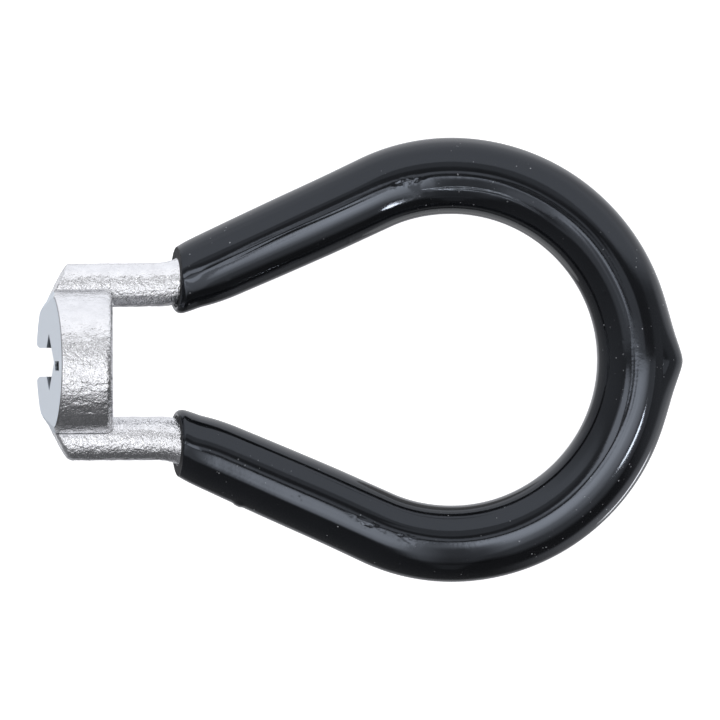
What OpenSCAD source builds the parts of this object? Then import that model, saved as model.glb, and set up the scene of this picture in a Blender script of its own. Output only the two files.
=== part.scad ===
// Spoke wrench: a cast steel body with a round drum head, two round legs and a rod loop, and a dipped vinyl grip on the loop.
//
// Millimetres. The origin is the centre of the milled face, where the nipple enters the socket.
// +X runs from the head to the loop, +Y across the two legs, +Z is the loop plane's normal. Legs and loop lie a little to the slot's side of the drum's axis.
// The milled face, the socket and the spoke slot are inclined to that plane, so that a spoke held in the socket passes under the loop.

/* [Head] */
// Radius of the drum head
head_r = 6.22; // [5:0.01:9]
// Distance from the middle of the face to the drum's flat back
head_t = 5.55; // [4:0.05:8]
// Rounding of the drum's back edge
head_round = 0.6; // [0.2:0.1:2]
// Lean of the milled face and the socket
tilt = 10; // [0:0.5:20]

/* [Nipple socket] */
// Side of the square socket, across the nipple's flats
socket_side = 3.5; // [3.1:0.01:4.6]
// Width of the slot that the spoke passes through
slot_w = 2.5; // [2:0.1:3.4]
// Length of the lead-in at the slot's mouth
mouth_len = 1.75; // [0.5:0.05:2.5]
// How far the lead-in opens on each side
mouth_open = 0.3; // [0.05:0.05:0.6]
// Rounding of the socket's corners
corner_r = 0.12; // [0:0.01:0.4]

/* [Relief notch in the milled face] */
// Width across the face
notch_w = 0.83; // [0.3:0.01:2]
// Distance of the notch's middle from the middle plane
notch_y = -0.32; // [-1:0.01:1]
// Distance of the notch's inner end from the drum's axis
notch_in = 2.95; // [2.6:0.05:4]
// Distance of the notch's outer end from the drum's axis
notch_out = 4.9; // [4:0.05:6]
// Depth into the face
notch_d = 0.8; // [0.2:0.1:2]

/* [Legs and rod] */
// Radius of the legs and of the rod that runs on inside the grip
rod_r = 1.91; // [1.2:0.01:3]
// Distance of each leg's centreline from the middle plane
leg_y = 6.68; // [4:0.01:9]
// Height of the centreline of legs and loop over the drum's axis
leg_z = -1.4; // [-2.5:0.1:2.5]
// Angle of the bevel on the front end of each leg
leg_bevel = 27.2; // [0:0.1:45]
// Distance from the middle plane at which that bevel passes the middle of the face
leg_bevel_y = 5.28; // [5:0.01:8]
// Lean of the bevels
bevel_lean = 5; // [0:0.5:15]
// Radius of the bend between leg and arm, on the rod's centreline
bend_r = 6.4; // [4:0.1:10]
// Angle of each arm to the middle plane
arm_a = 24; // [10:1:40]

/* [Loop] */
// Distance of the loop's centre from the middle of the face
loop_x = 35; // [25:0.1:50]
// Radius of the loop's centreline
loop_r = 16; // [12:0.1:22]

/* [Grip] */
// Outside radius of the grip round the loop
grip_r = 3.37; // [2.4:0.01:5]
// Outside radius of the grip at its two cut ends
grip_end_r = 2.91; // [2.2:0.01:4]
// Distance of the cut ends from the middle of the face
grip_cut = 11.09; // [9.5:0.01:12]
// Lean of the cut ends
cut_tilt = 10; // [-20:1:20]
// Gap between the rod and the grip's bore
grip_gap = 0.01; // [0:0.01:0.1]
// Height of the drip nub beyond the loop's outer edge
nub_h = 0.8; // [0:0.01:2]
// Radius of the nub's tip, seen from above
nub_r = 1.2; // [0.5:0.1:2]
// Angle of the nub's flanks to the tangent of the loop
nub_flank = 21.5; // [10:0.5:40]
// Radius of the nub, seen from the side
nub_back = 2.2; // [1.8:0.1:3]

/* [Hidden] */
$fn = 128;
big = 80;
// each length of round bar is this much thinner than the one it runs into, so that the lengths join as one solid
step = 0.01;
lap = 0.1;
steel = [0.74, 0.75, 0.78];
vinyl = [0.05, 0.05, 0.055];

// where the arm's straight line touches the loop's circle, and where it meets the leg's line
touch_x = loop_x - loop_r * sin(arm_a);
touch_y = loop_r * cos(arm_a);
corner_x = touch_x - (touch_y - leg_y) / tan(arm_a);
// the bend between them
reach = bend_r * tan(arm_a / 2);
leg_end = corner_x - reach;
arm_x = corner_x + reach * cos(arm_a);
arm_y = leg_y + reach * sin(arm_a);
arm_len = sqrt(pow(touch_x - arm_x, 2) + pow(touch_y - arm_y, 2));

// the face's own frame: local Z runs back from the milled face, local X points to the slot's mouth
module face_frame() {
    rotate([0, 90 + tilt, 0]) children();
}

// the drum's frame: local Z along the tool, local X down
module drum_frame() {
    rotate([0, 90, 0]) children();
}

// both sides of the middle plane
module both() {
    children();
    mirror([0, 1, 0]) children();
}

// the bend between a leg and its arm, run a degree into each
module bend(r) {
    translate([leg_end, leg_y + bend_r, leg_z]) rotate([0, 0, -91])
        rotate_extrude(angle = arm_a + 2) translate([bend_r, 0]) circle(r = r);
}

// the local Z axis laid along the upper arm, from the end of the bend
module along_arm() {
    translate([arm_x, arm_y, leg_z]) rotate([0, 0, arm_a]) rotate([0, 90, 0]) children();
}

// the round part of the loop
module ring(r) {
    translate([loop_x, 0, leg_z]) rotate([0, 0, -90 - arm_a])
        rotate_extrude(angle = 180 + 2 * arm_a) translate([loop_r, 0]) circle(r = r);
}

// bends, arms and ring as one round bar
module bar(r) {
    ring(r);
    both() {
        bend(r - 2 * step);
        along_arm() cylinder(r = r - step, h = arm_len + lap);
    }
}

// drum with a rounded back edge, its axis along local Z
module drum() {
    low = -2;
    rotate_extrude() {
        translate([0, low]) square([head_r - head_round, head_t - low]);
        translate([0, low]) square([head_r, head_t - head_round - low]);
        translate([head_r - head_round, head_t - head_round]) intersection() {
            circle(r = head_round);
            square([2 * head_round, 2 * head_round]);
        }
    }
}

// what the two bevels take off the front ends of the legs and the drum's lower corners
module bevel_waste() {
    both() rotate([0, bevel_lean, 0]) translate([0, leg_bevel_y, 0]) rotate([0, 0, -leg_bevel])
        translate([-8, -5, -8]) cube([8, 14, 16]);
}

// outline of the socket and its slot, in the plane of the face: a square on its corner with rounded corners
module socket_outline() {
    inner = socket_side - 2 * corner_r;
    rotate([0, 0, 45]) {
        square([socket_side, inner], center = true);
        square([inner, socket_side], center = true);
        for (x = [-1, 1]) for (y = [-1, 1])
            translate([x * inner / 2, y * inner / 2]) circle(r = corner_r);
    }
    translate([0, -slot_w / 2]) square([head_r + 4, slot_w]);
}

// the curved lead-in at each side of the slot's mouth
module mouth() {
    edge = sqrt(head_r * head_r - (slot_w / 2) * (slot_w / 2));
    mouth_r = (mouth_len * mouth_len + mouth_open * mouth_open) / (2 * mouth_open);
    both() translate([edge - mouth_len, slot_w / 2 - 0.005, -3]) difference() {
        cube([mouth_len + 1, 2 * mouth_open, head_t + 4]);
        translate([0, mouth_r, -1]) cylinder(r = mouth_r, h = head_t + 6);
    }
}

module cast_body() {
    color(steel) difference() {
        union() {
            drum_frame() drum();
            both() translate([-1.5, leg_y, leg_z]) rotate([0, 90, 0]) cylinder(r = rod_r, h = leg_end + 1.5);
            bar(rod_r);
        }
        bevel_waste();
        drum_frame() mouth();
        face_frame() {
            translate([-10, -10, -5]) cube([20, 20, 5]);
            translate([0, 0, -1]) linear_extrude(height = head_t + 3) socket_outline();
            translate([-notch_out, notch_y - notch_w / 2, -1]) cube([notch_out - notch_in, notch_w, notch_d + 1]);
        }
    }
}

// the grip's outside along an arm: a skirt that swells from the cut end to the full round
module grip_arm() {
    full = grip_r;
    d = full - grip_end_r;
    along_arm() rotate_extrude() polygon([
        [0, 0],
        [grip_end_r, 0],
        [full - 0.54 * d, 1.3],
        [full - 0.30 * d, 5],
        [full - 0.11 * d, 9],
        [full - step, 13.5],
        [full - step, arm_len + lap],
        [0, arm_len + lap]
    ]);
}

// the drip that dipping leaves at the far end: two cones base to base, turned about an axis across the tool, with a round ridge
module nub() {
    tip_x = loop_x + loop_r + grip_r + nub_h;
    rc = nub_back - nub_r;
    kr = rc + nub_r * cos(nub_flank);
    ky = nub_r * sin(nub_flank);
    run = kr / tan(nub_flank);
    translate([tip_x - nub_back, 0, leg_z]) rotate([90, 0, 0]) rotate_extrude() {
        polygon([[0, -ky - run], [kr, -ky], [kr, ky], [0, ky + run]]);
        intersection() {
            translate([rc, 0]) circle(r = nub_r);
            translate([rc, -ky]) square([2 * nub_r, 2 * ky]);
        }
    }
}

module vinyl_grip() {
    color(vinyl) difference() {
        union() {
            ring(grip_r);
            both() {
                bend(grip_end_r - step);
                grip_arm();
            }
            nub();
        }
        bar(rod_r + grip_gap);
        translate([grip_cut, 0, leg_z]) rotate([0, 90 + cut_tilt, 0])
            translate([-big / 2, -big / 2, -big]) cube([big, big, big]);
    }
}

cast_body();
vinyl_grip();
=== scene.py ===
import bpy
import math
import numpy as np
from mathutils import Matrix, Vector


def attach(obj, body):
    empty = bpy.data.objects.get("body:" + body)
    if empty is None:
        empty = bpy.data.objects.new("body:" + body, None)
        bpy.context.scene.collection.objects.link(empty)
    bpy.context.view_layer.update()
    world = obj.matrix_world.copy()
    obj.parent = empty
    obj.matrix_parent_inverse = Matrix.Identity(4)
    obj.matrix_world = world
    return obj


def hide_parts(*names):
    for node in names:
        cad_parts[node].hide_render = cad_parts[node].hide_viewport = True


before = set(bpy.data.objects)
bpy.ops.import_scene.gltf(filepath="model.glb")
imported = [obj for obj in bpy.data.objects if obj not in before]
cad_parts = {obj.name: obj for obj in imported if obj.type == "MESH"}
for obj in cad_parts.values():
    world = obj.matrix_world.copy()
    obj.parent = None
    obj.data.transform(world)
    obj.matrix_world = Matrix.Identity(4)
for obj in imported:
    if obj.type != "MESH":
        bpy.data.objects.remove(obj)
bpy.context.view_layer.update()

MM = 0.001
rad = math.radians

# ---------------------------------------------------------------- the tool's main sizes, in millimetres
HEAD_R, HEAD_T, HEAD_ROUND, TILT = 6.22, 5.55, 0.6, rad(10)
SIDE, SLOT_W, MOUTH_LEN, MOUTH_OPEN, CORNER_R = 3.5, 2.5, 1.75, 0.3, 0.12
NOTCH_W, NOTCH_Y, NOTCH_IN, NOTCH_OUT, NOTCH_D = 0.83, -0.32, 2.95, 4.9, 0.8
ROD_R, LEG_Y, LEG_Z = 1.91, 6.68, -1.4
BEVEL, BEVEL_Y, BEVEL_LEAN = rad(27.2), 5.28, rad(5)
BEND_R, ARM = 6.4, rad(24)
LOOP_X, LOOP_R = 35.0, 16.0
GRIP_R, GRIP_END_R, GRIP_CUT = 3.37, 2.91, 11.09

TOUCH_X, TOUCH_Y = LOOP_X - LOOP_R * math.sin(ARM), LOOP_R * math.cos(ARM)
CORNER_X = TOUCH_X - (TOUCH_Y - LEG_Y) / math.tan(ARM)
REACH = BEND_R * math.tan(ARM / 2)
LEG_END = CORNER_X - REACH
ARM_X, ARM_Y = CORNER_X + REACH * math.cos(ARM), LEG_Y + REACH * math.sin(ARM)
ARM_LEN = math.hypot(TOUCH_X - ARM_X, TOUCH_Y - ARM_Y)
# lengths along the centreline, measured from the loop's far end
S_RING = LOOP_R * (math.pi / 2 + ARM)
S_ARM = S_RING + ARM_LEN
S_BEND = S_ARM + BEND_R * ARM


# ---------------------------------------------------------------- noise
def _hash(ix, iy, iz, seed):
    m = np.uint64(0xFFFFFFFF)
    h = (ix.astype(np.uint64) * np.uint64(0x8DA6B343)) & m
    h ^= (iy.astype(np.uint64) * np.uint64(0xD8163841)) & m
    h ^= (iz.astype(np.uint64) * np.uint64(0xCB1AB31F)) & m
    h ^= np.uint64((seed * 0x9E3779B1) & 0xFFFFFFFF)
    h ^= h >> np.uint64(13)
    h = (h * np.uint64(0x5BD1E995)) & m
    h ^= h >> np.uint64(15)
    h = (h * np.uint64(0x27D4EB2F)) & m
    h ^= h >> np.uint64(16)
    return (h & np.uint64(0xFFFF)).astype(float) / 32767.5 - 1.0


def noise3(p, seed=1):
    """Smooth value noise between -1 and 1 at the rows of p."""
    i = np.floor(p).astype(np.int64)
    f = p - i
    u = f * f * f * (f * (f * 6 - 15) + 10)
    i = i + 100000
    out = np.zeros(len(p))
    for a in (0, 1):
        for b in (0, 1):
            for c in (0, 1):
                w = (
                    (u[:, 0] if a else 1 - u[:, 0])
                    * (u[:, 1] if b else 1 - u[:, 1])
                    * (u[:, 2] if c else 1 - u[:, 2])
                )
                out += w * _hash(i[:, 0] + a, i[:, 1] + b, i[:, 2] + c, seed)
    return out


def fbm(p, seed, octaves=3, gain=0.5):
    out, amp = np.zeros(len(p)), 1.0
    for o in range(octaves):
        out += amp * noise3(p * 2.03**o + 7.7 * o, seed + 31 * o)
        amp *= gain
    return out


def smooth(a, b, x):
    t = np.clip((x - a) / (b - a), 0, 1)
    return t * t * (3 - 2 * t)


# ---------------------------------------------------------------- mesh helpers
def make_object(name, verts_mm, faces, smooth_shade=True):
    me = bpy.data.meshes.new(name)
    v = np.asarray(verts_mm, float) * MM
    me.vertices.add(len(v))
    me.vertices.foreach_set("co", v.ravel())
    loops = np.concatenate([np.asarray(f, np.int64).ravel() for f in faces])
    sizes = np.concatenate([np.full(len(f), np.shape(f)[1]) for f in faces])
    starts = np.concatenate([[0], np.cumsum(sizes)[:-1]])
    me.loops.add(len(loops))
    me.loops.foreach_set("vertex_index", loops.astype(np.int32))
    me.polygons.add(len(sizes))
    me.polygons.foreach_set("loop_start", starts.astype(np.int32))
    me.update(calc_edges=True)
    me.validate()
    me.polygons.foreach_set("use_smooth", np.full(len(me.polygons), smooth_shade))
    ob = bpy.data.objects.new(name, me)
    bpy.context.scene.collection.objects.link(ob)
    return ob


def boolean(ob, tool, operation):
    m = ob.modifiers.new("cut", "BOOLEAN")
    m.operation = operation
    m.solver = "MANIFOLD"
    m.object = tool
    dg = bpy.context.evaluated_depsgraph_get()
    done = bpy.data.meshes.new_from_object(ob.evaluated_get(dg))
    ob.modifiers.clear()
    old, name = ob.data, ob.data.name
    ob.data = done
    bpy.data.meshes.remove(old)
    done.name = name
    gone = tool.data
    bpy.data.objects.remove(tool)
    bpy.data.meshes.remove(gone)


def surface_nets(f, origin, h):
    """Quads round the zero level of the grid f, which is negative inside."""
    s = f < 0
    nx, ny, nz = f.shape
    count = np.zeros((nx - 1, ny - 1, nz - 1), np.int8)
    for a in (0, 1):
        for b in (0, 1):
            for c in (0, 1):
                count += s[a : nx - 1 + a, b : ny - 1 + b, c : nz - 1 + c]
    act = (count > 0) & (count < 8)
    ix, iy, iz = np.nonzero(act)
    index = np.full(act.shape, -1, np.int64)
    index[ix, iy, iz] = np.arange(len(ix))
    acc, n = np.zeros((len(ix), 3)), np.zeros(len(ix))
    corners = [(a, b, c) for a in (0, 1) for b in (0, 1) for c in (0, 1)]
    for p in corners:
        for ax in range(3):
            if p[ax]:
                continue
            q = list(p)
            q[ax] = 1
            f0 = f[ix + p[0], iy + p[1], iz + p[2]]
            f1 = f[ix + q[0], iy + q[1], iz + q[2]]
            m = (f0 < 0) != (f1 < 0)
            t = np.where(m, f0 / np.where(m, f0 - f1, 1), 0)
            pt = np.tile(np.array(p, float), (len(ix), 1))
            pt[:, ax] = t
            acc += np.where(m[:, None], pt, 0)
            n += m
    verts = origin + h * (np.stack([ix, iy, iz], 1) + acc / n[:, None])
    quads = []
    for ax in range(3):
        sl0, sl1 = [slice(None)] * 3, [slice(None)] * 3
        sl0[ax], sl1[ax] = slice(0, -1), slice(1, None)
        s0, s1 = s[tuple(sl0)], s[tuple(sl1)]
        e = s0 != s1
        b, c = (ax + 1) % 3, (ax + 2) % 3
        inner = [slice(None)] * 3
        inner[b] = slice(1, -1)
        inner[c] = slice(1, -1)
        keep = np.zeros_like(e)
        keep[tuple(inner)] = e[tuple(inner)]
        g = np.stack(np.nonzero(keep), 1)
        ring = []
        for db, dc in ((0, 0), (-1, 0), (-1, -1), (0, -1)):
            k = g.copy()
            k[:, b] += db
            k[:, c] += dc
            ring.append(index[k[:, 0], k[:, 1], k[:, 2]])
        q = np.stack(ring, 1)
        inside_first = s0[g[:, 0], g[:, 1], g[:, 2]]
        q = np.where(inside_first[:, None], q, q[:, ::-1])
        quads.append(q)
    return verts, np.concatenate(quads)


# ---------------------------------------------------------------- the rod's centreline
def centre(s):
    """Point and outward direction on the rod's centreline at each length s from the loop's far end; +s is the +Y side."""
    s = np.asarray(s, float)
    a, sign = np.abs(s), np.where(s < 0, -1.0, 1.0)
    psi = np.minimum(a, S_RING) / LOOP_R
    x, y = LOOP_X + LOOP_R * np.cos(psi), LOOP_R * np.sin(psi)
    nx, ny = np.cos(psi), np.sin(psi)
    t = np.clip(a - S_RING, 0, ARM_LEN)
    x, y = x - t * math.cos(ARM), y - t * math.sin(ARM)
    b = ARM - np.clip(a - S_ARM, 0, BEND_R * ARM) / BEND_R
    on = a > S_ARM
    x = np.where(on, LEG_END + BEND_R * np.sin(b), x)
    y = np.where(on, LEG_Y + BEND_R * (1 - np.cos(b)), y)
    nx, ny = np.where(on, -np.sin(b), nx), np.where(on, np.cos(b), ny)
    x = x - np.maximum(a - S_BEND, 0)
    return np.stack([x, y * sign], -1), np.stack([nx, ny * sign], -1)


def tube_point(s, phi, rho):
    """Point at angle phi round the rod (0 = outward in the loop's plane, 90 = up) and rho from its centreline."""
    c, n = centre(s)
    return np.stack(
        [
            c[..., 0] + rho * np.cos(phi) * n[..., 0],
            c[..., 1] + rho * np.cos(phi) * n[..., 1],
            LEG_Z + rho * np.sin(phi),
        ],
        -1,
    )


# ---------------------------------------------------------------- cast body
def soft_max(a, b, f):
    h = np.maximum(f - np.abs(a - b), 0) / f
    return np.maximum(a, b) + h * h * f * 0.25


def sdf_body(p):
    """Signed distance to the uncut casting: drum with rounded back edge, two legs with bevelled ends, first part of the bends."""
    x, y, z = p[..., 0], p[..., 1], p[..., 2]
    r = np.hypot(y, z)
    k = HEAD_ROUND
    qx, qr = x - (HEAD_T - k), r - (HEAD_R - k)
    drum = (
        np.hypot(np.maximum(qx, 0), np.maximum(qr, 0))
        - k
        + np.minimum(np.maximum(qx, qr), 0)
    )
    ay = np.abs(y)
    leg = np.hypot(ay - LEG_Y, z - LEG_Z) - ROD_R
    # the bend: an arc about (LEG_END, LEG_Y + BEND_R)
    ex, ey = x - LEG_END, LEG_Y + BEND_R - ay
    bend = np.hypot(np.hypot(ex, ey) - BEND_R, z - LEG_Z) - ROD_R
    leg = np.where(x > LEG_END, bend, leg)
    # bevels on the front ends, more rounded on the -Y leg
    depth = x * math.cos(BEVEL_LEAN) - z * math.sin(BEVEL_LEAN)
    bev = (ay - BEVEL_Y) * math.sin(BEVEL) - depth * math.cos(BEVEL)
    leg = soft_max(leg, bev, np.where(y > 0, 0.20, 0.42))
    drum = soft_max(drum, bev, 0.30)
    # a small fillet in the crease
    return -soft_max(-drum, -leg, 0.05)


def face_axes():
    """Axes of the milled face: back into the head, towards the slot's mouth, across."""
    back = np.array([math.cos(TILT), 0, -math.sin(TILT)])
    mouth = np.array([-math.sin(TILT), 0, -math.cos(TILT)])
    return back, mouth, np.array([0, 1.0, 0])


def prism(name, outline, z0, z1, across, up, along, segments=1):
    """A prism over a closed outline, which turns counterclockwise about the axis along."""
    o = np.asarray(outline, float)
    n = len(o)
    levels = np.linspace(z0, z1, segments + 1)
    verts = np.concatenate(
        [o[:, :1] * across + o[:, 1:] * up + lv * along for lv in levels]
    )
    i = np.arange(n)
    j = (i + 1) % n
    quads = np.concatenate(
        [np.stack([i, j, j + n, i + n], 1) + k * n for k in range(segments)]
    )
    tops = [np.arange(n)[::-1][None, :], (np.arange(n) + segments * n)[None, :]]
    return make_object(name, verts, [quads, tops[0], tops[1]], smooth_shade=False)


def build_body():
    h = 0.088
    lo = np.array([-1.75, -9.9, -6.6])
    hi = np.array([12.6, 9.9, 6.6])
    ax = [np.arange(a, b, h) for a, b in zip(lo, hi)]
    ax[1] = ax[1] - (ax[1][0] + ax[1][-1]) / 2 + 0.003
    org = np.array([a[0] for a in ax])
    gx, gy, gz = np.meshgrid(*ax, indexing="ij")
    f = np.empty(gx.shape, np.float32)
    for i in range(0, gx.shape[0], 24):
        part = slice(i, i + 24)
        p = np.stack([gx[part], gy[part], gz[part]], -1)
        d = sdf_body(p)
        d = np.maximum(d, p[..., 0] - 12.3)
        d = np.maximum(d, -1.55 - p[..., 0])
        f[part] = d
    v, q = surface_nets(f, org, h)

    def full(p):
        return np.maximum(np.maximum(sdf_body(p), p[:, 0] - 12.3), -1.55 - p[:, 0])

    def grad(p):
        e = 0.004
        g = np.stack(
            [
                full(p + np.eye(3)[k] * e) - full(p - np.eye(3)[k] * e)
                for k in range(3)
            ],
            1,
        ) / (2 * e)
        return g

    flat_end = (v[:, 0] > 12.3 - 1.2 * h) | (v[:, 0] < -1.55 + 1.2 * h)
    for _ in range(3):
        g = grad(v)
        step = full(v)[:, None] * g / np.maximum((g * g).sum(1), 0.3)[:, None]
        step[flat_end] = 0
        v = v - np.clip(step, -0.05, 0.05)
    g = grad(v)
    nrm = g / np.maximum(np.linalg.norm(g, axis=1), 1e-6)[:, None]
    amp = cast_grain(v)
    fade = smooth(12.2, 11.6, v[:, 0]) * smooth(-1.5, -1.3, v[:, 0])
    v = v + nrm * (amp * fade)[:, None]
    v[:, 2] = np.clip(v[:, 2], -6.024, 6.215)
    body = make_object("cast_body_steel", v, [q])

    # the rod that runs on inside the grip
    s_end = S_BEND - 0.35
    s = np.arange(-s_end, s_end + 0.001, 2 * s_end / 300)
    n = 56
    phi = np.arange(n) * 2 * math.pi / n
    rings = tube_point(s[:, None] + 0 * phi, phi[None, :] + 0 * s[:, None], ROD_R - 0.09)
    m = len(s)
    verts = rings.reshape(-1, 3)
    i, j = np.meshgrid(np.arange(m - 1), np.arange(n), indexing="ij")
    a = (i * n + j).ravel()
    b = (i * n + (j + 1) % n).ravel()
    tube = np.stack([a, a + n, b + n, b], 1)
    # caps at both ends
    first = np.arange(n)[None, :]
    last = (np.arange(n) + (m - 1) * n)[None, ::-1]
    rod = make_object("rod_tool", verts, [tube, first, last])
    fix_normals(rod)
    fix_normals(body)
    boolean(body, rod, "UNION")

    cut_head(body)
    return body


def fix_normals(ob):
    """Turns the faces outward if the closed mesh came out inside out."""
    me = ob.data
    me.calc_loop_triangles()
    tri = np.empty(len(me.loop_triangles) * 3, np.int32)
    me.loop_triangles.foreach_get("vertices", tri)
    co = np.empty(len(me.vertices) * 3)
    me.vertices.foreach_get("co", co)
    t = co.reshape(-1, 3)[tri.reshape(-1, 3)]
    vol = np.einsum("ij,ij->i", t[:, 0], np.cross(t[:, 1], t[:, 2])).sum() / 6
    if vol < 0:
        me.flip_normals()
    return vol


PITS = (
    (8.60, -5.08, -0.45, 0.13, 0.12),
    (8.80, -5.02, -0.52, 0.09, 0.08),
    (1.20, 6.35, -0.10, 0.16, 0.08),
    (2.95, 1.62, 6.00, 0.10, 0.06),
    (9.60, 5.60, 0.20, 0.10, 0.05),
    (7.30, -7.90, 0.05, 0.10, 0.06),
    (6.20, 8.00, 0.00, 0.09, 0.05),
    (5.30, -3.60, 5.00, 0.20, 0.10),
    (3.40, -6.50, 0.40, 0.10, 0.06),
)


def cast_grain(p):
    """Height of the cast and plated surface over the smooth shape, in mm."""
    fine = 0.017 * fbm(p / 0.25, 11, 2, 0.45)
    mid = 0.019 * fbm(p / np.array([1.1, 0.42, 0.42]), 23, 2, 0.5)
    broad = 0.016 * noise3(p / 3.1, 41)
    grain = fine + mid + broad - 0.008
    # a few casting pits: place and radius in mm, depth in mm
    for x, y, z, r, d in PITS:
        q = ((p - np.array([x, y, z])) ** 2).sum(1)
        grain -= d * np.exp(-q / (r * r))
    return grain


def cut_head(body):
    back, mouth, across = face_axes()
    # milled face
    wide = np.array([[-20, -20], [20, -20], [20, 20], [-20, 20]])
    face = prism("face_tool", wide, -8, 0, mouth, across, back)
    fix_normals(face)
    boolean(body, face, "DIFFERENCE")
    # socket and slot
    q = SIDE / math.sqrt(2)
    c = CORNER_R

    def corner(angle):
        """Rounded corner of the square at this direction from its centre."""
        mid = (q - c * math.sqrt(2)) * np.array([math.cos(angle), math.sin(angle)])
        t = angle + np.linspace(-math.pi / 4, math.pi / 4, 5)
        return [mid + c * np.array([math.cos(k), math.sin(k)]) for k in t]

    half = SLOT_W / 2
    edge = math.sqrt(HEAD_R**2 - half**2)
    run = edge - MOUTH_LEN
    mr = (MOUTH_LEN**2 + MOUTH_OPEN**2) / (2 * MOUTH_OPEN)
    side = [np.array([q - half, half])]
    for t in np.linspace(0, 1, 12):
        xx = run + t * MOUTH_LEN
        side.append(np.array([xx, half + mr - math.sqrt(mr**2 - (xx - run) ** 2)]))
    side.append(np.array([edge + 3, half + MOUTH_OPEN + 1.1]))
    pts = side[::-1]
    lower = [np.array([a[0], -a[1]]) for a in side]
    # counterclockwise in (mouth, across): lower slot side out, upper slot side in, then round the square
    ring = lower + pts + corner(math.pi / 2) + corner(math.pi) + corner(-math.pi / 2)
    sock = prism("socket_tool", ring, -1, HEAD_T + 2.5, mouth, across, back)
    fix_normals(sock)
    boolean(body, sock, "DIFFERENCE")
    # relief notch
    n0 = NOTCH_Y - NOTCH_W / 2
    rect = np.array(
        [
            [-NOTCH_OUT, n0 + 0.05],
            [-NOTCH_OUT + 0.06, n0],
            [-NOTCH_IN - 0.10, n0 + 0.02],
            [-NOTCH_IN, n0 + 0.10],
            [-NOTCH_IN - 0.07, n0 + 0.36],
            [-NOTCH_IN, n0 + 0.60],
            [-NOTCH_IN - 0.05, n0 + NOTCH_W],
            [-NOTCH_OUT + 0.06, n0 + NOTCH_W],
            [-NOTCH_OUT, n0 + NOTCH_W - 0.05],
        ]
    )
    notch = prism("notch_tool", rect, -1, NOTCH_D, mouth, across, back)
    fix_normals(notch)
    boolean(body, notch, "DIFFERENCE")


# ---------------------------------------------------------------- vinyl grip
def swell_table():
    """Share of the thickness that is missing towards the grip's cut ends, without kinks."""
    t = np.arange(-8.0, 24.0, 0.02)
    y = np.interp(t, [-3, 0, 0.6, 1.3, 2.6, 5, 9, 13.5], [1.03, 1.0, 0.74, 0.54, 0.42, 0.30, 0.11, 0.0])
    out = []
    for sigma in (0.35, 1.8):
        k = np.arange(-4 * sigma, 4 * sigma, 0.02)
        w = np.exp(-k * k / (2 * sigma * sigma))
        pad = len(w) // 2
        z = np.convolve(np.pad(y, pad, mode="edge"), w / w.sum(), mode="same")
        out.append(z[pad : pad + len(t)])
    mix = smooth(1.6, 5.5, t)
    return t, out[0] * (1 - mix) + out[1] * mix


SWELL_T, SWELL = swell_table()


def grip_radius(s):
    """Outside radius of the dipped grip along its length."""
    t = S_ARM - np.abs(s)  # distance from the end of the bend
    full = GRIP_R - 0.09
    d = full - GRIP_END_R
    r = full - d * np.interp(t, SWELL_T, SWELL)
    return r + 0.09 * smooth(S_RING + 4.0, S_RING - 7.0, np.abs(s))


def nub_height(s, phi):
    """The pointed drip at the loop's far end."""
    arc = s * (LOOP_R + GRIP_R) / LOOP_R + 0.22
    a = np.abs(arc)
    tent = 0.84 - np.tan(rad(21.0)) * (np.sqrt(a * a + 0.30) - 0.44) + arc * arc / 38.7
    h = 0.17 * np.log1p(np.exp(np.clip(tent / 0.17, -40, 40)))
    h = np.minimum(h, 0.815) * smooth(6.4, 3.6, a)
    p = np.abs((phi + math.pi) % (2 * math.pi) - math.pi) / rad(46)
    return h * np.clip(1 - p * p, 0, 1) ** 1.25


# drips in the vinyl's upper side: x, y, radius, height, in mm
SPECKS = (
    (48.26, 5.80, 0.16, 0.022),
    (49.74, 1.53, 0.15, 0.020),
    (49.55, 1.10, 0.14, 0.018),
    (26.17, 10.38, 0.14, 0.016),
    (15.65, 6.97, 0.15, 0.016),
)
# long flow lines: from s, to s, angle in degrees, half width, depth, in mm
LINES = (
    (-6.5, 2.2, 92.5, 0.11, 0.016),
    (-5.5, 1.6, 87.0, 0.10, 0.013),
    (-9.5, -1.5, 83.5, 0.12, 0.009),
    (-14.0, -2.0, 90.5, 0.14, 0.008),
    (-34.0, -19.0, 104.0, 0.14, 0.009),
    (-49.0, -31.5, 81.0, 0.12, 0.007),
    (30.6, 48.0, 93.5, 0.13, 0.013),
    (32.0, 46.5, 86.5, 0.14, 0.008),
    (30.5, 44.0, 100.0, 0.14, 0.008),
    (30.0, 47.0, 66.0, 0.20, 0.010),
    (28.0, 49.0, 48.0, 0.22, 0.010),
    (12.0, 27.5, 110.0, 0.12, 0.014),
    (2.0, 16.0, 97.0, 0.12, 0.012),
    (5.0, 21.0, 88.0, 0.14, 0.010),
    (2.0, 13.0, 78.5, 0.12, 0.008),
    (8.0, 28.0, 58.0, 0.24, 0.010),
    (-26.0, -8.0, 118.0, 0.20, 0.008),
)
# wrinkled patches: x, y, length along the grip, width, height, grain, in mm
PATCHES = (
    (31.15, 15.45, 1.10, 0.36, 0.042, 0.34),
    (27.55, -14.30, 1.75, 0.36, 0.030, 0.26),
    (31.00, -15.60, 0.85, 0.34, 0.026, 0.24),
    (21.90, -12.10, 1.20, 0.30, 0.012, 0.24),
)


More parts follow.
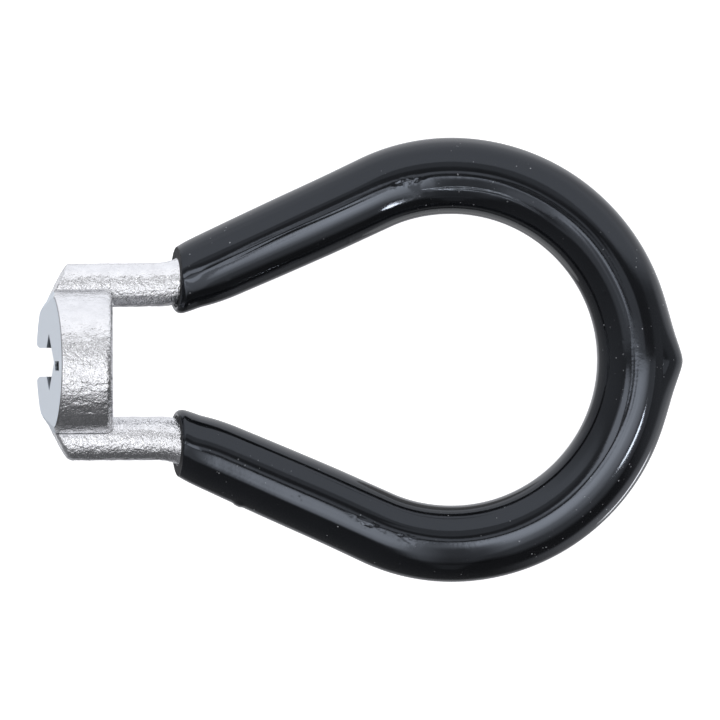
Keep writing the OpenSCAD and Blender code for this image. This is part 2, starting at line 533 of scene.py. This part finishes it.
def grip_surface(s, phi):
    """Outside radius of the grip at length s and angle phi, with its flow marks and blemishes."""
    base = grip_radius(s)
    q = np.stack(
        [s.ravel() / 7.0, (np.cos(phi) * 1.7).ravel(), (np.sin(phi) * 1.7).ravel()], 1
    )
    low = 0.018 * noise3(q * np.array([0.6, 1.0, 1.0]), 5)
    low += 0.006 * noise3(q * np.array([1.2, 2.0, 2.0]) + 3.1, 6)
    flow = 0.0085 * noise3(q * np.array([0.25, 3.2, 3.2]) + 9.4, 8)
    flow += 0.0030 * noise3(q * np.array([0.3, 7.5, 7.5]) + 1.7, 9)
    # the flow marks are strongest on top
    top = 0.45 + 0.55 * np.clip(np.sin(phi), 0, 1).ravel() ** 2
    inward = 0.10 * smooth(S_RING - 3.0, S_RING + 6.0, np.abs(s)) * np.cos(phi)
    # the last millimetres are tucked in on the loop's side
    tuck = smooth(S_ARM - 3.5, S_ARM + 0.5, np.abs(s)) * np.clip(-np.cos(phi), 0, 1)
    inward = inward + 0.17 * tuck
    r = base + (low + flow * top).reshape(s.shape) - 0.035 - inward
    p = tube_point(s, phi, base)
    x, y, z = p[..., 0], p[..., 1], p[..., 2]
    up = z > LEG_Z + 0.3
    _, nrm = centre(s)
    for cx, cy, rr, h in SPECKS:
        d = ((x - cx) ** 2 + (y - cy) ** 2) / (rr * rr)
        r = r + np.where(up, h * np.exp(-d), 0)
    turn = (phi + math.pi) % (2 * math.pi) - math.pi
    for s0, s1, deg, w, depth in LINES:
        wander = 0.09 * np.sin(s * 0.22 + deg) + 0.03 * np.sin(s * 0.7 + 2 * deg)
        d = (turn - rad(deg)) * base + wander
        run = smooth(s0 - 0.5, s0 + 3.0, s) * smooth(s1 + 0.5, s1 - 3.0, s)
        r = r - depth * run * np.exp(-(d * d) / (w * w))
    for cx, cy, along, wide, h, grain in PATCHES:
        dx, dy = x - cx, y - cy
        a = dx * -nrm[..., 1] + dy * nrm[..., 0]
        c = dx * nrm[..., 0] + dy * nrm[..., 1]
        win = np.where(up, np.exp(-((a / along) ** 2 + (c / wide) ** 2) ** 1.5), 0)
        on = win > 0.004
        if on.any():
            if cy < 0:
                # creases that run along the grip
                pts = np.stack([a[on] / (2.8 * grain), c[on] / (0.8 * grain), z[on] / grain], 1)
            else:
                pts = np.stack([x[on] / grain, y[on] / grain, z[on] / grain], 1)
            bump = h * (fbm(pts, 61, 2, 0.5) - 0.25)
            r[on] = r[on] + bump * win[on]
    # the soft swelling beside the biggest blemish
    d = ((x - 32.4) / 0.65) ** 2 + ((y - 15.05) / 0.65) ** 2
    r = r + np.where(up, 0.040 * np.exp(-d), 0)
    # a torn burr on the lower arm's outer edge
    d = ((x - 16.3) / 0.42) ** 2 + ((y + 12.62) / 0.30) ** 2
    r = r + np.where(z > LEG_Z - 1.0, 0.10 * np.exp(-(d**2)), 0)
    return r + nub_height(s, phi)


def build_grip():
    n = 264
    phi = np.arange(n) * 2 * math.pi / n
    tan = math.tan(rad(10))

    def over(s, rho):
        p = tube_point(s, phi, rho)
        return p[..., 0] - (GRIP_CUT + (p[..., 2] - LEG_Z) * tan)

    def cut_length(sign, rho_of):
        lo, hi = np.full(n, S_ARM - 3.0), np.full(n, S_BEND + 3.0)
        for _ in range(40):
            mid = (lo + hi) / 2
            far = over(sign * mid, rho_of(sign * mid)) > 0
            lo, hi = np.where(far, mid, lo), np.where(far, hi, mid)
        return (lo + hi) / 2

    # the cut's outer edge: crisp outside the loop, rolled over inside it
    lip = 0.07 + 0.42 * smooth(0.35, -0.75, np.cos(phi))
    outer_up = cut_length(1, lambda s: grip_surface(s, phi))
    outer_lo = cut_length(-1, lambda s: grip_surface(s, phi))
    m = 940
    base = np.linspace(-1, 1, m)
    knee = S_ARM - 4.0
    full_u, full_l = outer_up - lip, outer_lo - lip

    def lengths(t):
        """Rows of s for t from -1 to 1, the last millimetres stretched to end on the cut."""
        a = abs(t) * (S_ARM + 1.3)
        if a <= knee:
            return np.full(n, math.copysign(a, t))
        w = (a - knee) / (S_ARM + 1.3 - knee)
        end = full_u if t > 0 else full_l
        return math.copysign(1, t) * (knee + w * (end - knee))

    rows = []
    s_rows = np.stack([lengths(t) for t in base])
    rho = grip_surface(s_rows, np.tile(phi, (m, 1)))
    outer = tube_point(s_rows, np.tile(phi, (m, 1)), rho)

    def end_rings(sign, cut):
        rings = []
        for k in range(1, 5):
            t = k / 4 * math.pi / 2
            s = sign * (cut - lip + lip * math.sin(t))
            rho_k = grip_surface(s, phi) - lip * (1 - math.cos(t))
            rings.append(tube_point(s, phi, rho_k))
        # across the cut, in its plane
        r_in = ROD_R + 0.03
        r_out = grip_surface(sign * cut, phi) - lip
        for w in (0.33, 0.66, 0.93, 1.0):
            r_k = r_out * (1 - w) + r_in * w
            s_k = cut_length(sign, lambda s, r_k=r_k: r_k)
            off = 0.0 if w < 1 else 0.05
            rings.append(tube_point(sign * (s_k - off), phi, r_k))
        return rings

    up, down = end_rings(1, outer_up), end_rings(-1, outer_lo)
    r_in = ROD_R + 0.03
    cu, cl = cut_length(1, lambda s: r_in + 0 * s), cut_length(-1, lambda s: r_in + 0 * s)
    bore = []
    for t in np.linspace(1, -1, 90):
        a = abs(t) * S_ARM
        end = cu if t > 0 else cl
        w = smooth(knee, S_ARM, np.array([a]))[0]
        s = np.full(n, a) * (1 - w) + (end - 0.4) * w
        bore.append(tube_point(math.copysign(1, t) * s, phi, r_in))
    rings = down[::-1] + list(outer) + up + bore
    verts = np.concatenate(rings)
    k = len(rings)
    i, j = np.meshgrid(np.arange(k), np.arange(n), indexing="ij")
    a = (i * n + j).ravel()
    b = (i * n + (j + 1) % n).ravel()
    c = (((i + 1) % k) * n + (j + 1) % n).ravel()
    d = (((i + 1) % k) * n + j).ravel()
    grip = make_object("vinyl_grip_skin", verts, [np.stack([a, b, c, d], 1)])
    fix_normals(grip)
    return grip


# ---------------------------------------------------------------- shader helpers
class Graph:
    """Small helper that adds math nodes to a node tree."""

    def __init__(self, tree):
        self.t = tree

    def node(self, kind, **props):
        n = self.t.nodes.new(kind)
        for k, v in props.items():
            setattr(n, k, v)
        return n

    def put(self, socket, value):
        if isinstance(value, bpy.types.NodeSocket):
            self.t.links.new(value, socket)
        else:
            socket.default_value = value

    def m(self, op, a, b=0.0, c=0.0, clamp=False):
        n = self.node("ShaderNodeMath", operation=op, use_clamp=clamp)
        for s, v in zip(n.inputs, (a, b, c)):
            self.put(s, v)
        return n.outputs[0]

    def step(self, x, lo, hi):
        """0 below lo, 1 above hi, smooth between; turned round if lo > hi."""
        n = self.node("ShaderNodeMapRange", interpolation_type="SMOOTHSTEP")
        turned = lo > hi
        a, b = (hi, lo) if turned else (lo, hi)
        for name, v in (
            ("Value", x),
            ("From Min", a),
            ("From Max", b),
            ("To Min", 1.0 if turned else 0.0),
            ("To Max", 0.0 if turned else 1.0),
        ):
            self.put(n.inputs[name], v)
        return n.outputs["Result"]

    def band(self, x, a, b, soft_a, soft_b):
        return self.m(
            "MULTIPLY",
            self.step(x, a - soft_a, a + soft_a),
            self.step(x, b + soft_b, b - soft_b),
        )

    def mixf(self, w, a, b):
        n = self.node("ShaderNodeMix", data_type="FLOAT")
        self.put(n.inputs[0], w)
        self.put(n.inputs[2], a)
        self.put(n.inputs[3], b)
        return n.outputs[0]

    def mixc(self, w, a, b):
        n = self.node("ShaderNodeMix", data_type="RGBA")
        self.put(n.inputs[0], w)
        self.put(n.inputs[6], a)
        self.put(n.inputs[7], b)
        return n.outputs[2]

    def noise(self, vec, scale, detail=2.0, rough=0.5):
        n = self.node("ShaderNodeTexNoise")
        self.put(n.inputs["Vector"], vec)
        n.inputs["Scale"].default_value = scale
        n.inputs["Detail"].default_value = detail
        n.inputs["Roughness"].default_value = rough
        return n.outputs[0]


def rgb(r, g, b):
    return (r, g, b, 1.0)


def new_material(name):
    mat = bpy.data.materials.new(name)
    mat.use_nodes = True
    mat.node_tree.nodes.clear()
    g = Graph(mat.node_tree)
    out = g.node("ShaderNodeOutputMaterial")
    bsdf = g.node("ShaderNodeBsdfPrincipled")
    mat.node_tree.links.new(bsdf.outputs[0], out.inputs[0])
    coord = g.node("ShaderNodeTexCoord").outputs["Object"]
    return mat, g, bsdf, coord


def cast_material():
    mat, g, b, co = new_material("cast_nickel")
    b.inputs["Metallic"].default_value = 1.0
    sep = g.node("ShaderNodeSeparateXYZ")
    g.put(sep.inputs[0], co)
    x, y, z = sep.outputs

    def length(a, c):
        return g.m("SQRT", g.m("ADD", g.m("MULTIPLY", a, a), g.m("MULTIPLY", c, c)))

    # painted shade in the crease between drum and legs: darker and rougher there, less so on the +Y side. A thin
    # band along the milled face's edge is made darker and rougher as well
    drum = g.m("SUBTRACT", length(y, z), HEAD_R * MM)
    side = g.m("SUBTRACT", g.m("ABSOLUTE", y), LEG_Y * MM)
    leg = g.m("SUBTRACT", length(side, g.m("SUBTRACT", z, LEG_Z * MM)), ROD_R * MM)
    near = g.m("MAXIMUM", g.m("ABSOLUTE", drum), g.m("ABSOLUTE", leg))
    crease_shade = g.m("MULTIPLY", g.step(near, 0.00016, 0.00004), g.step(x, 0.0051, 0.0047))
    crease_shade = g.m("MULTIPLY", crease_shade, g.mixf(g.step(y, -0.001, 0.001), 1.0, 0.55))
    depth = g.m("SUBTRACT", g.m("MULTIPLY", x, math.cos(TILT)), g.m("MULTIPLY", z, math.sin(TILT)))
    wob = g.noise(co, 2500.0, 2.0, 0.5)
    rim = g.step(g.m("SUBTRACT", depth, g.m("MULTIPLY", wob, 0.00006)), 0.00010, 0.00004)
    crease_shade_and_edge_band = g.m("MAXIMUM", g.m("MULTIPLY", crease_shade, 0.75), g.m("MULTIPLY", rim, 0.7))
    tone = g.noise(co, 900.0, 3.0, 0.6)
    spread = g.step(tone, 0.3, 0.7)
    clean = g.mixc(spread, rgb(0.715, 0.72, 0.74), rgb(0.795, 0.80, 0.82))
    # the crease takes a painted dark shade colour, and the band along the milled edge the same dark colour
    g.put(b.inputs["Base Color"], g.mixc(crease_shade_and_edge_band, clean, rgb(0.16, 0.17, 0.19)))
    g.put(b.inputs["Roughness"], g.mixf(crease_shade_and_edge_band, g.mixf(spread, 0.155, 0.10), 0.5))
    grain = g.noise(co, 5000.0, 2.0, 0.6)
    bump = g.node("ShaderNodeBump")
    bump.inputs["Strength"].default_value = 1.0
    bump.inputs["Distance"].default_value = 0.00007
    g.put(bump.inputs["Height"], grain)
    g.put(b.inputs["Normal"], bump.outputs[0])
    return mat


def milled_material():
    mat, g, b, co = new_material("milled_nickel")
    b.inputs["Metallic"].default_value = 1.0
    tone = g.noise(co, 1500.0, 2.0, 0.5)
    # painted shade: the socket's walls are painted darker, and the notch darker still
    sep = g.node("ShaderNodeSeparateXYZ")
    g.put(sep.inputs[0], co)
    x, y, z = sep.outputs
    depth = g.m("SUBTRACT", g.m("MULTIPLY", x, math.cos(TILT)), g.m("MULTIPLY", z, math.sin(TILT)))
    recess_shade_mask = g.m("MULTIPLY", g.step(depth, 0.00003, 0.00030), g.step(g.m("ABSOLUTE", y), 0.0032, 0.0030))
    face = g.mixc(tone, rgb(0.715, 0.78, 0.845), rgb(0.74, 0.805, 0.87))
    wall = g.mixc(g.step(z, 0.0026, 0.0028), rgb(0.40, 0.425, 0.45), rgb(0.25, 0.265, 0.285))
    g.put(b.inputs["Base Color"], g.mixc(recess_shade_mask, face, wall))
    g.put(b.inputs["Roughness"], g.mixf(tone, 0.30, 0.36))
    return mat


def vinyl_material():
    mat, g, b, co = new_material("black_vinyl")
    tone = g.noise(co, 350.0, 3.0, 0.55)
    black = g.mixc(tone, rgb(0.0035, 0.0037, 0.0042), rgb(0.0060, 0.0062, 0.0070))
    cells = g.node("ShaderNodeTexVoronoi")
    g.put(cells.inputs["Vector"], co)
    cells.inputs["Scale"].default_value = 950.0
    pick = g.node("ShaderNodeSeparateColor")
    g.put(pick.inputs[0], cells.outputs["Color"])
    dust = g.m("MULTIPLY", g.step(cells.outputs["Distance"], 0.085, 0.045), g.step(pick.outputs[0], 0.40, 0.80))
    # finer dust that has gathered in patches
    finer = g.node("ShaderNodeTexVoronoi")
    g.put(finer.inputs["Vector"], co)
    finer.inputs["Scale"].default_value = 1700.0
    choose = g.node("ShaderNodeSeparateColor")
    g.put(choose.inputs[0], finer.outputs["Color"])
    haze = g.m("MULTIPLY", g.step(finer.outputs["Distance"], 0.15, 0.07), g.step(choose.outputs[0], 0.45, 0.85))
    haze = g.m("MULTIPLY", haze, g.step(g.noise(co, 170.0, 2.0, 0.5), 0.50, 0.62))
    dust = g.m("MAXIMUM", g.m("MULTIPLY", dust, 0.6), g.m("MULTIPLY", haze, 0.42))
    g.put(b.inputs["Base Color"], g.mixc(dust, black, rgb(0.40, 0.41, 0.43)))
    g.put(b.inputs["Roughness"], g.mixf(g.step(tone, 0.35, 0.65), 0.075, 0.11))
    b.inputs["IOR"].default_value = 1.53
    b.inputs["Specular Tint"].default_value = rgb(0.79, 0.87, 1.0)
    fine = g.noise(co, 2600.0, 2.0, 0.5)
    bump = g.node("ShaderNodeBump")
    bump.inputs["Strength"].default_value = 0.12
    bump.inputs["Distance"].default_value = 0.00002
    g.put(bump.inputs["Height"], fine)
    g.put(b.inputs["Normal"], bump.outputs[0])
    return mat


def cut_material():
    """The cut ends of the grip: matte where the knife went through."""
    mat, g, b, co = new_material("black_vinyl_cut")
    tone = g.noise(co, 1800.0, 3.0, 0.55)
    g.put(b.inputs["Base Color"], g.mixc(tone, rgb(0.010, 0.010, 0.012), rgb(0.030, 0.031, 0.034)))
    b.inputs["Roughness"].default_value = 0.62
    b.inputs["Specular IOR Level"].default_value = 0.22
    b.inputs["IOR"].default_value = 1.5
    return mat


# ---------------------------------------------------------------- studio
def build_world():
    w = bpy.data.worlds.new("studio")
    bpy.context.scene.world = w
    w.use_nodes = True
    w.node_tree.nodes.clear()
    g = Graph(w.node_tree)
    out = g.node("ShaderNodeOutputWorld")
    bg = g.node("ShaderNodeBackground")
    w.node_tree.links.new(bg.outputs[0], out.inputs[0])
    co = g.node("ShaderNodeTexCoord").outputs["Generated"]
    sep = g.node("ShaderNodeSeparateXYZ")
    g.put(sep.inputs[0], co)
    x, y, z = sep.outputs
    zs = g.m("MAXIMUM", z, 0.05)
    u, v = g.m("DIVIDE", x, zs), g.m("DIVIDE", y, zs)
    above = g.step(z, 0.10, 0.16)

    # pale wall and floor on the +Y side, up to about 50 degrees above the horizon
    wall = g.m("MULTIPLY", g.step(y, 0.28, 0.52), g.step(z, 0.775, 0.745))
    level = g.mixf(g.step(z, 0.05, 0.65), 1.14, 1.30)
    level = g.m("MULTIPLY", level, g.mixf(g.step(x, -0.95, -0.45), 0.42, 1.0))
    # dark side of the room
    dark = g.mixf(g.step(x, -0.9, 0.2), 0.45, 0.16)
    dark = g.mixf(g.step(y, -0.5, 0.25), g.m("MULTIPLY", dark, 0.55), dark)
    ahead = g.m("MULTIPLY", g.step(x, 0.78, 0.95), g.band(z, -0.40, 0.55, 0.1, 0.1))
    dark = g.mixf(ahead, dark, 0.36)
    # dimmer upper part of that wall
    upper = g.m("MULTIPLY", g.step(y, 0.32, 0.46), g.step(z, 0.93, 0.88))
    val = g.mixf(upper, dark, 0.62)
    val = g.mixf(wall, val, level)
    # pale table beyond the loop's end
    beyond = g.m("MULTIPLY", g.step(x, 0.15, 0.65), g.step(z, -0.05, -0.38))
    val = g.mixf(beyond, val, 0.85)
    # pale table straight below the tool
    under = g.step(z, -0.70, -0.86)
    val = g.mixf(under, val, g.mixf(g.step(y, -0.35, 0.10), 0.50, 0.90))
    # pale ceiling, with a brighter run straight over the head
    ceil = g.m("MULTIPLY", g.band(u, -0.62, 0.75, 0.12, 0.12), g.band(v, -0.75, -0.02, 0.25, 0.02))
    val = g.mixf(g.m("MULTIPLY", ceil, above), val, 0.85)
    # a fainter part of the ceiling over the loop's far end
    far = g.m("MULTIPLY", g.band(u, 0.10, 0.50, 0.05, 0.12), g.band(v, 0.01, 0.24, 0.03, 0.06))
    val = g.mixf(g.m("MULTIPLY", far, above), val, 0.80)
    run = g.m("MULTIPLY", g.band(u, -0.28, 0.25, 0.12, 0.12), g.step(v, -0.02, -0.06))
    fall = g.mixf(g.step(v, -2.60, -0.40), 0.25, 1.68)
    fall = g.mixf(g.step(v, -0.20, -0.08), fall, 1.30)
    val = g.mixf(g.m("MULTIPLY", run, above), val, fall)
    strip = g.m("MULTIPLY", g.band(u, -0.55, 0.10, 0.1, 0.06), g.band(v, 0.12, 0.26, 0.02, 0.04))
    val = g.mixf(g.m("MULTIPLY", strip, above), val, 1.34)
    side = g.m("MULTIPLY", g.band(u, -0.46, -0.12, 0.04, 0.03), g.band(v, 0.035, 0.24, 0.02, 0.03))
    val = g.mixf(g.m("MULTIPLY", side, above), val, 3.2)
    # bright line low over the table, mirrored along the loop's outer edge
    az = g.m("ARCTAN2", y, x)
    low = g.m("MULTIPLY", g.band(az, rad(-46), rad(-26), 0.05, 0.05), g.band(z, -0.76, -0.70, 0.01, 0.01))
    val = g.mixf(low, val, 7.0)
    tint = g.mixc(g.step(z, 0.9, -0.2), rgb(1.0, 1.0, 1.02), rgb(0.98, 0.99, 1.03))
    seen = g.node("ShaderNodeLightPath").outputs["Is Camera Ray"]
    g.put(bg.inputs["Color"], g.mixc(seen, tint, rgb(0.96, 0.96, 0.97)))
    g.put(bg.inputs["Strength"], g.mixf(seen, val, 1.0))


def glow_panel(name, verts, faces, strength, lit):
    """A lamp that shines from its front only, and is seen only in the gloss of what it is linked to."""
    ob = make_object(name, verts, [np.array(faces)])
    mat = bpy.data.materials.new(name)
    mat.use_nodes = True
    mat.node_tree.nodes.clear()
    g = Graph(mat.node_tree)
    out = g.node("ShaderNodeOutputMaterial")
    mix = g.node("ShaderNodeMixShader")
    emit = g.node("ShaderNodeEmission")
    emit.inputs["Color"].default_value = rgb(1.0, 1.0, 1.0)
    emit.inputs["Strength"].default_value = strength
    g.put(mix.inputs[0], g.node("ShaderNodeNewGeometry").outputs["Backfacing"])
    g.put(mix.inputs[1], emit.outputs[0])
    g.put(mix.inputs[2], g.node("ShaderNodeBsdfTransparent").outputs[0])
    g.put(out.inputs[0], mix.outputs[0])
    ob.data.materials.append(mat)
    ob.visible_camera = False
    ob.visible_shadow = False
    ob.visible_diffuse = False
    ob.light_linking.receiver_collection = lit
    return ob


def ladder(pairs):
    """Vertices and quads of a strip through pairs of low and high points, its front to the left of its run."""
    verts = [p for pair in pairs for p in pair]
    return verts, [[2 * i, 2 * i + 1, 2 * i + 3, 2 * i + 2] for i in range(len(pairs) - 1)]


def build_lamps(lit):
    """Three small lamps whose mirror images are the short bright lines on the grip."""
    # a far window
    far = 3000.0
    pairs = []
    for t in np.linspace(0, 1, 13):
        az = rad(-33.0 + 18.5 * t)
        wide = 0.006 + 0.026 * math.sqrt(max(math.sin(math.pi * t), 0.0))
        pair = []
        for z in (0.668 - wide, 0.668 + wide):
            r = math.sqrt(1 - z * z)
            pair.append((35 + far * r * math.cos(az), far * r * math.sin(az), far * z))
        pairs.append(pair)
    glow_panel("window", *ladder(pairs), 30.0, lit)
    # close over the loop: a short one and a long thin one
    for name, a0, a1, z, tall, strength in (
        ("lamp_short", 113.4, 107.6, 6.9, 1.3, 30.0),
        ("lamp_thin", 98.0, 62.0, 13.4, 0.30, 30.0),
    ):
        pairs = []
        for t in np.linspace(0, 1, 9):
            az = rad(a0 + (a1 - a0) * t)
            half = tall * (0.15 + 0.85 * math.sin(math.pi * min(max(t, 0.02), 0.98)))
            x, y = 35 + 6.4 * math.cos(az), 6.4 * math.sin(az)
            pairs.append([(x, y, z - half), (x, y, z + half)])
        glow_panel(name, *ladder(pairs), strength, lit)
    # the bright table under the loop, seen past its inner edge
    for name, x, y, rx, ry, strength in (
        ("table_a", 36.0, 5.6, 6.0, 3.6, 0.95),
        ("table_b", 34.0, -6.0, 5.0, 3.0, 0.35),
    ):
        turns = [k * math.pi / 12 for k in range(24)]
        ring = [(x + rx * math.cos(t), y + ry * math.sin(t), -5.3) for t in turns]
        fans = [[24, k, (k + 1) % 24] for k in range(24)]
        glow_panel(name, ring + [(x, y, -5.3)], fans, strength, lit)


def build_scrim(name, az0, az1, soft, r0, r1, shade):
    """A grey gauze close over part of the loop, which dims what the grip mirrors there."""
    n, m = 36, 12
    az = np.radians(np.linspace(az0 - soft, az1 + soft, n + 1))
    ra = np.linspace(r0 - 0.8, r1 + 0.8, m + 1)
    a, r = np.meshgrid(az, ra, indexing="ij")
    v = np.stack([35 + r * np.cos(a), r * np.sin(a), 5.0 + 0 * r], -1).reshape(-1, 3)
    i, j = np.meshgrid(np.arange(n), np.arange(m), indexing="ij")
    k = (i * (m + 1) + j).ravel()
    ob = make_object(name, v, [np.stack([k, k + 1, k + m + 2, k + m + 1], 1)])
    mat = bpy.data.materials.new(name)
    mat.use_nodes = True
    mat.node_tree.nodes.clear()
    g = Graph(mat.node_tree)
    sep = g.node("ShaderNodeSeparateXYZ")
    g.put(sep.inputs[0], g.node("ShaderNodeTexCoord").outputs["Object"])
    x, y = (g.m("MULTIPLY", o, 1000.0) for o in sep.outputs[:2])
    x = g.m("SUBTRACT", x, 35.0)
    r = g.m("SQRT", g.m("ADD", g.m("MULTIPLY", x, x), g.m("MULTIPLY", y, y)))
    az = g.m("ARCTAN2", y, x)
    w = g.m("MULTIPLY", g.band(r, r0, r1, 0.6, 0.4), g.band(az, rad(az0), rad(az1), rad(soft), rad(soft)))
    clear = g.node("ShaderNodeBsdfTransparent")
    g.put(clear.inputs[0], g.mixc(w, rgb(1, 1, 1), rgb(shade, shade, shade)))
    out = g.node("ShaderNodeOutputMaterial")
    g.put(out.inputs[0], clear.outputs[0])
    ob.data.materials.append(mat)
    ob.visible_camera = False
    ob.visible_shadow = False
    ob.visible_diffuse = False


def build_panels(grip):
    """A softbox in two parts, 400 mm over the grip, seen only in its gloss."""
    h, n = 400.0, 40
    gx, gy = np.meshgrid(np.linspace(-330, 900, n + 1), np.linspace(-1050, 30, n + 1), indexing="ij")
    v = np.stack([gx, gy, h + 0 * gx], -1).reshape(-1, 3)
    i, j = np.meshgrid(np.arange(n), np.arange(n), indexing="ij")
    a = (i * (n + 1) + j).ravel()
    panel = make_object("softbox", v, [np.stack([a, a + 1, a + n + 2, a + n + 1], 1)])
    mat = bpy.data.materials.new("softbox")
    mat.use_nodes = True
    mat.node_tree.nodes.clear()
    g = Graph(mat.node_tree)
    out = g.node("ShaderNodeOutputMaterial")
    add = g.node("ShaderNodeAddShader")
    clear = g.node("ShaderNodeBsdfTransparent")
    emit = g.node("ShaderNodeEmission")
    g.put(add.inputs[0], clear.outputs[0])
    g.put(add.inputs[1], emit.outputs[0])
    g.put(out.inputs[0], add.outputs[0])
    sep = g.node("ShaderNodeSeparateXYZ")
    g.put(sep.inputs[0], g.node("ShaderNodeTexCoord").outputs["Object"])
    x, y = (g.m("MULTIPLY", o, 1000.0) for o in sep.outputs[:2])
    edge = g.step(y, 2.0, -4.0)
    # left part: a slanted band towards -X, -Y
    l0 = g.m("SUBTRACT", x, g.m("ADD", g.m("MULTIPLY", y, 0.42), 2.0))
    l1 = g.m("SUBTRACT", x, g.m("ADD", g.m("MULTIPLY", y, 0.25), 36.0))
    left = g.m("MULTIPLY", g.step(l0, -10.0, 8.0), g.step(l1, 5.0, -5.0))
    left = g.m("MULTIPLY", g.m("MULTIPLY", left, g.step(y, -380.0, -120.0)), 2.5)
    # right part
    r0 = g.m("ADD", x, g.m("SUBTRACT", g.m("MULTIPLY", y, 0.10), 40.0))
    rx, ry = g.m("MULTIPLY", g.m("SUBTRACT", x, 40.0), 0.625), y
    d = g.m("SQRT", g.m("ADD", g.m("MULTIPLY", rx, rx), g.m("MULTIPLY", ry, ry)))
    right = g.m("MULTIPLY", g.step(r0, -5.0, 5.0), g.step(d, 330.0, 0.0))
    tail = g.m("MULTIPLY", g.m("MULTIPLY", g.step(x, 60.0, 130.0), g.step(d, 1000.0, 350.0)), 0.65)
    right = g.m("MAXIMUM", g.m("MULTIPLY", right, 4.2), tail)
    g.put(emit.inputs["Color"], rgb(1.0, 1.0, 1.02))
    g.put(emit.inputs["Strength"], g.m("MULTIPLY", edge, g.m("MAXIMUM", left, right)))
    panel.data.materials.append(mat)
    panel.visible_camera = False
    panel.visible_shadow = False
    panel.visible_diffuse = False
    lit = bpy.data.collections.new("lit_by_softbox")
    lit.objects.link(grip)
    panel.light_linking.receiver_collection = lit
    build_lamps(lit)
    build_scrim("scrim_a", 52, 98, 9, 12.0, 15.5, 0.36)
    build_scrim("scrim_b", 76, 100, 6, 7.4, 12.0, 0.34)
    build_scrim("scrim_c", -96, -76, 6, 17.2, 27.0, 0.36)


def build_floor():
    # the floor touches the drum's lower back edge and the underside of the loop's far end
    x0, z0 = 5.1, -6.03
    x1, z1 = 51.0, LEG_Z - GRIP_R
    slope = (z1 - z0) / (x1 - x0)
    size, n = 1200.0, 24
    ax = np.linspace(-size, size, n + 1)
    gx, gy = np.meshgrid(ax, ax, indexing="ij")
    gz = z0 - 0.02 + (gx - x0) * slope
    v = np.stack([gx, gy, gz], -1).reshape(-1, 3)
    i, j = np.meshgrid(np.arange(n), np.arange(n), indexing="ij")
    a = (i * (n + 1) + j).ravel()
    q = np.stack([a, a + n + 1, a + n + 2, a + 1], 1)
    floor = make_object("floor", v, [q])
    mat, g, b, co = new_material("pale_floor")
    b.inputs["Base Color"].default_value = rgb(0.80, 0.80, 0.80)
    b.inputs["Roughness"].default_value = 0.9
    b.inputs["Specular IOR Level"].default_value = 0.0
    b.inputs["Emission Color"].default_value = rgb(1, 1, 1)
    b.inputs["Emission Strength"].default_value = 0.85
    floor.data.materials.append(mat)
    floor.visible_glossy = False
    return floor


def build_camera():
    cam = bpy.data.cameras.new("camera")
    ob = bpy.data.objects.new("camera", cam)
    bpy.context.scene.collection.objects.link(ob)
    px = 11.5  # pixels per millimetre in the loop's plane
    eye = Vector((0.0, 0.0, 2000.0))
    aim = Vector((27.04, 0.025, 0.0))
    back = (eye - aim).normalized()
    roll = rad(0.37)
    right = Vector((math.cos(roll), -math.sin(roll), 0.0))
    right = (right - back * right.dot(back)).normalized()
    up = back.cross(right)
    m = Matrix((right, up, back)).transposed().to_4x4()
    m.translation = eye * MM
    ob.matrix_world = m
    cam.sensor_width = 36.0
    cam.lens = 36.0 * (eye - aim).length / (720 / px)
    cam.clip_start, cam.clip_end = 0.05, 30.0
    bpy.context.scene.camera = ob


# ---------------------------------------------------------------- scene
build_camera()
build_world()
build_floor()

body = build_body()
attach(body, "root")
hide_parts("cast_body")
body.data.materials.clear()
body.data.materials.append(cast_material())
body.data.materials.append(milled_material())

back, mouth, across = face_axes()
nrm = np.empty(len(body.data.polygons) * 3)
cen = np.empty(len(body.data.polygons) * 3)
body.data.polygons.foreach_get("normal", nrm)
body.data.polygons.foreach_get("center", cen)
nrm, cen = nrm.reshape(-1, 3), cen.reshape(-1, 3) / MM
depth = cen @ back
across_r = np.hypot(cen @ mouth, cen[:, 1])
flat = (depth < 0.01) & (nrm @ back < -0.98)
for sign in (-1, 1):
    lean = np.array([math.cos(BEVEL_LEAN), 0, -math.sin(BEVEL_LEAN)])
    out_b = -math.cos(BEVEL) * lean + math.sin(BEVEL) * np.array([0, sign, 0])
    on_drum = np.hypot(cen[:, 1], cen[:, 2]) < HEAD_R - 0.04
    flat |= (nrm @ out_b > 0.93) & on_drum & (cen[:, 0] < 1.5)
inner = (np.abs(nrm @ back) < 0.02) & (
    (np.abs(cen[:, 1]) < 2.6) & (across_r < 7.0) & (cen[:, 0] < 6.5)
) & (np.abs(cen @ mouth) < 7) & (across_r < np.hypot(HEAD_R, 0) - 0.15)
idx = np.zeros(len(nrm), np.int32)
idx[flat | inner] = 1
body.data.polygons.foreach_set("material_index", idx)
sm = np.ones(len(nrm), bool)
sm[flat | inner] = False
body.data.polygons.foreach_set("use_smooth", sm)

grip = build_grip()
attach(grip, "root")
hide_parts("vinyl_grip")
grip.data.materials.append(vinyl_material())
grip.data.materials.append(cut_material())
nrm = np.empty(len(grip.data.polygons) * 3)
cen = np.empty(len(grip.data.polygons) * 3)
grip.data.polygons.foreach_get("normal", nrm)
grip.data.polygons.foreach_get("center", cen)
nrm, cen = nrm.reshape(-1, 3), cen.reshape(-1, 3) / MM
cut_out = np.array([-math.cos(rad(10)), 0, math.sin(rad(10))])
off = np.abs((cen[:, 0] - GRIP_CUT) * math.cos(rad(10)) - (cen[:, 2] - LEG_Z) * math.sin(rad(10)))
idx = np.where((nrm @ cut_out > 0.93) & (off < 0.12), 1, 0).astype(np.int32)
grip.data.polygons.foreach_set("material_index", idx)
build_panels(grip)

bpy.context.scene.view_settings.view_transform = "Standard"
bpy.context.scene.view_settings.look = "None"
